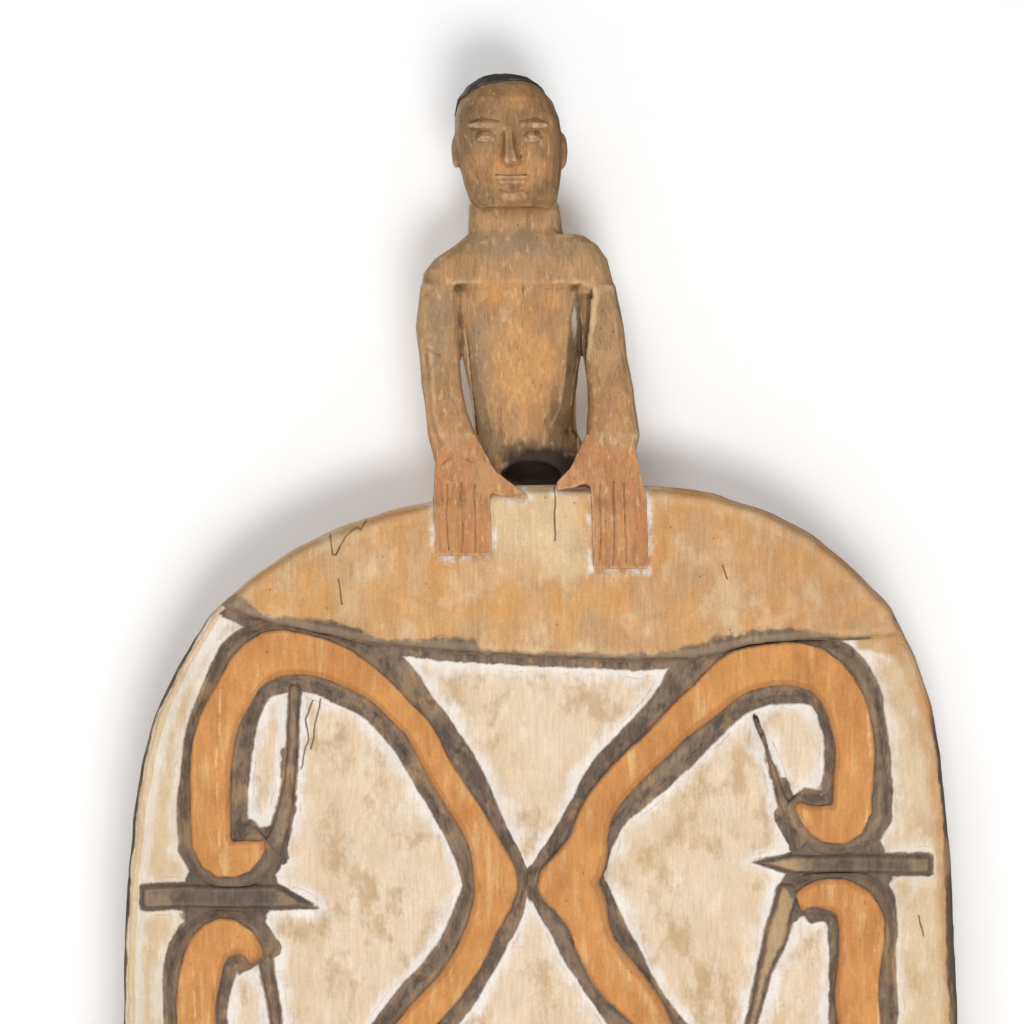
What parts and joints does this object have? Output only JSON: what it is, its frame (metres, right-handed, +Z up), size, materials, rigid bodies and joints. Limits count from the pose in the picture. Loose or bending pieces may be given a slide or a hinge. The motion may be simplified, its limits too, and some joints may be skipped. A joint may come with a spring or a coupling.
{
  "type": "carved war shield",
  "caption": "Tall carved wooden shield with a rounded head, hooked scroll relief, an ancestor figure on its crown and a grip behind.",
  "frame": {"origin": "middle of the flat foot edge that the shield stands on", "axes": "+Z up along the shield towards the figure's head, +Y out of the back towards the bearer, +X to the right as seen from the front"},
  "size_m": [0.548, 0.1081, 1.418],
  "materials": {
    "limed_wood": "matt lime wash on bare wood",
    "charcoal": "rubbed charcoal, worn to the wood",
    "ochre": "matt ochre earth paint",
    "stained_wood": "bare wood with ochre stains",
    "carved_wood": "handled carved wood, low sheen",
    "red_ochre": "red ochre rubbed on carved wood",
    "soot": "soot black on carved wood"
  },
  "bodies": {
    "root": {"board": "limed_wood", "crest_panel": "stained_wood", "foot_panel": "stained_wood", "rim_left": "charcoal", "rim_right": "charcoal", "back_handle": "carved_wood", "ridge_left_1": "charcoal", "band_left_1": "ochre", "bar_left_1": "charcoal", "rib_upper_left_1": "charcoal", "rib_lower_left_1": "charcoal", "ridge_right_1": "charcoal", "band_right_1": "ochre", "bar_right_1": "charcoal", "rib_upper_right_1": "charcoal", "rib_lower_right_1": "charcoal", "ridge_left_2": "charcoal", "band_left_2": "ochre", "bar_left_2": "charcoal", "rib_upper_left_2": "charcoal", "rib_lower_left_2": "charcoal", "ridge_right_2": "charcoal", "band_right_2": "ochre", "bar_right_2": "charcoal", "rib_upper_right_2": "charcoal", "rib_lower_right_2": "charcoal", "ridge_left_3": "charcoal", "band_left_3": "ochre", "bar_left_3": "charcoal", "rib_upper_left_3": "charcoal", "rib_lower_left_3": "charcoal", "ridge_right_3": "charcoal", "band_right_3": "ochre", "bar_right_3": "charcoal", "rib_upper_right_3": "charcoal", "rib_lower_right_3": "charcoal", "shoulder_yoke": "carved_wood", "torso": "carved_wood", "hips": "carved_wood", "neck": "carved_wood", "head": "carved_wood", "arm_left": "carved_wood", "arm_right": "carved_wood", "hair_cap": "soot", "hand_left": "red_ochre", "hand_right": "red_ochre"}
  },
  "joints": []
}
